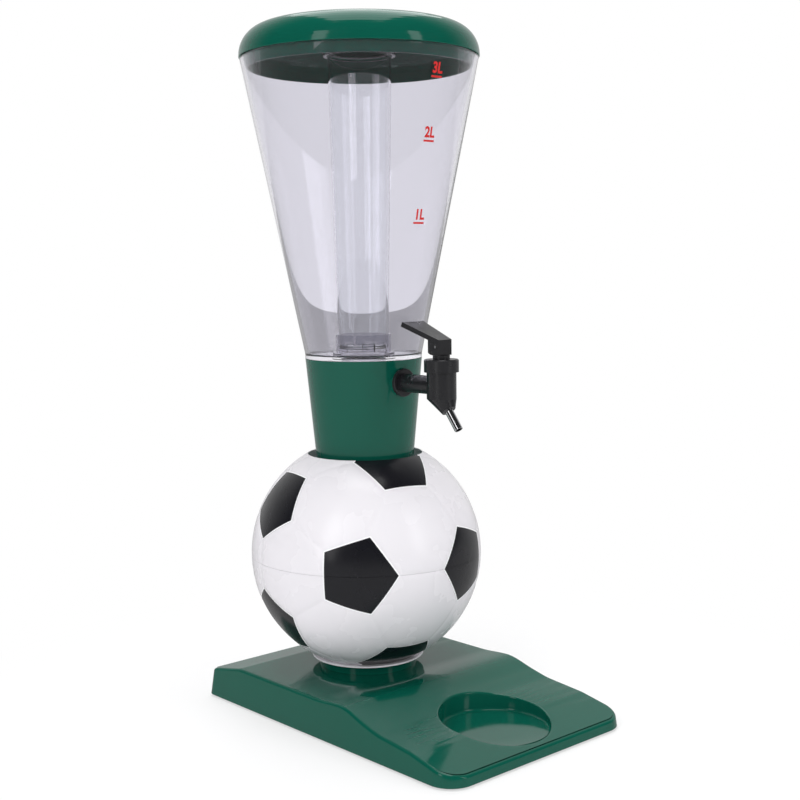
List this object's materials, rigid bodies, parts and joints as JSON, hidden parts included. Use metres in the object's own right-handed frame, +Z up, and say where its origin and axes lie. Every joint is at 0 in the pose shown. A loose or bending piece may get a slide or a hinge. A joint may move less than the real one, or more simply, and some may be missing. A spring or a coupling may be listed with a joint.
{
  "type": "beer tower dispenser",
  "caption": "Tabletop drink tower: clear tapered reservoir with an ice tube and domed lid on a football-shaped stand, with a spring tap over a drip base.",
  "frame": {"origin": "middle of the base's footprint, on the table", "axes": "+Z up, -Y towards the tap and the glass recess, +X to the right seen from the tap side"},
  "size_m": [0.198, 0.3, 0.5614],
  "materials": {
    "green_plastic": "moulded, high gloss",
    "ball_white": "satin gloss",
    "ball_black": "painted, gloss",
    "clear_plastic": "clear moulded",
    "tap_black": "moulded, semi gloss",
    "black_rubber": "matt",
    "silicone": "translucent",
    "spout_steel": "polished",
    "screw_steel": "zinc plated",
    "spring_steel": "drawn wire",
    "mark_red": "printed ink"
  },
  "bodies": {
    "stand": {"base_shell": "green_plastic", "rubber_feet": "black_rubber", "base_screws": "screw_steel", "ball_lower_shell": "ball_white", "ball_upper_shell": "ball_white", "collar": "green_plastic", "collar_screws": "screw_steel", "tap_outer_washer": "black_rubber", "tap_inner_washer": "black_rubber", "tap_nut": "tap_black", "tap_body": "tap_black", "spout_tube": "spout_steel", "tap_bonnet": "tap_black", "bonnet_seal": "black_rubber"},
    "reservoir": {"reservoir": "clear_plastic", "reservoir_gasket": "silicone", "tube_socket": "clear_plastic"},
    "lid": {"lid": "green_plastic"},
    "ice_tube": {"ice_tube": "clear_plastic", "ice_tube_seal": "silicone"},
    "valve_swivel": {"valve_spring": "spring_steel", "spring_washer": "screw_steel"},
    "valve_stem": {"valve_stem": "tap_black", "valve_seal": "silicone", "lever_pin": "screw_steel"},
    "lever": {"lever": "tap_black"}
  },
  "joints": [
    {"name": "reservoir_lift", "type": "slide", "parent": "stand", "child": "reservoir", "axis": [0, 0, 1], "range_m": [0, 0.04]},
    {"name": "lid_lift", "type": "slide", "parent": "reservoir", "child": "lid", "axis": [0, 0, 1], "range_m": [0, 0.26]},
    {"name": "ice_tube_twist", "type": "hinge", "parent": "lid", "child": "ice_tube", "pos_m": [0, 0.0515, 0.54], "axis": [0, 0, 1], "range_deg": [0, 90]},
    {"name": "handle_swivel", "type": "hinge", "parent": "stand", "child": "valve_swivel", "pos_m": [0, -0.042, 0.29], "axis": [0, 0, 1], "continuous": true},
    {"name": "stem_lift", "type": "slide", "parent": "valve_swivel", "child": "valve_stem", "axis": [0, 0, 1], "range_m": [0, 0.0021], "deforming": ["valve_spring"]},
    {"name": "lever_press", "type": "hinge", "parent": "valve_stem", "child": "lever", "pos_m": [0, -0.042, 0.30408], "axis": [-1, 0, 0], "range_deg": [0, 40], "stiffness_Nm_per_rad": 0.15, "springref_deg": -17.19}
  ],
  "couplings": [
    {"joint": "stem_lift", "follows": "lever_press", "m_per_rad": 0.003}
  ]
}
